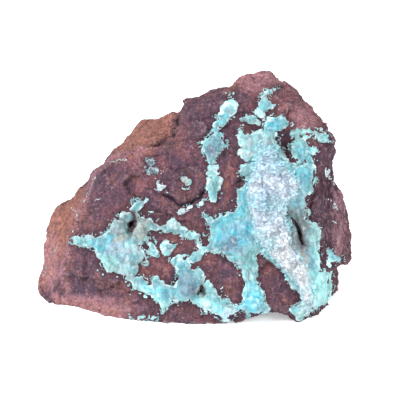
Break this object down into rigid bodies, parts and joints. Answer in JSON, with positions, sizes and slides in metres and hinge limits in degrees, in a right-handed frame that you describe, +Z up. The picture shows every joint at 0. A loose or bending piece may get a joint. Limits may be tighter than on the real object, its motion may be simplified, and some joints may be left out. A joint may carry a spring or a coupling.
{
  "type": "mineral specimen",
  "caption": "Broken block of rusty gossan rock that stands on a flat base, its leaning display face crusted with blue-green rosasite and pale calcite crystals.",
  "frame": {"origin": "on the surface it stands on, under the centre of its bounding box", "axes": "+Z up; +X to the right along the display face, its longest side; the display face looks towards -Y and leans back"},
  "size_m": [0.0626, 0.0384, 0.0431],
  "materials": {
    "gossan": "rough broken iron oxide rock, rusty to purple brown",
    "rosasite": "fine velvety blue-green crust",
    "calcite": "milky translucent small crystals"
  },
  "bodies": {
    "root": {"gossan_matrix": "gossan", "rosasite_crust_main": "rosasite", "rosasite_vein_upper": "rosasite", "rosasite_vein_top": "rosasite", "rosasite_patch_upper_left": "rosasite", "rosasite_patch_middle": "rosasite", "rosasite_patch_pale": "rosasite", "rosasite_patch_streak": "rosasite", "rosasite_patch_island_left": "rosasite", "rosasite_patch_island_right": "rosasite", "rosasite_strip_right_edge": "rosasite", "rosasite_foot": "rosasite", "calcite_druse": "calcite"}
  },
  "joints": []
}
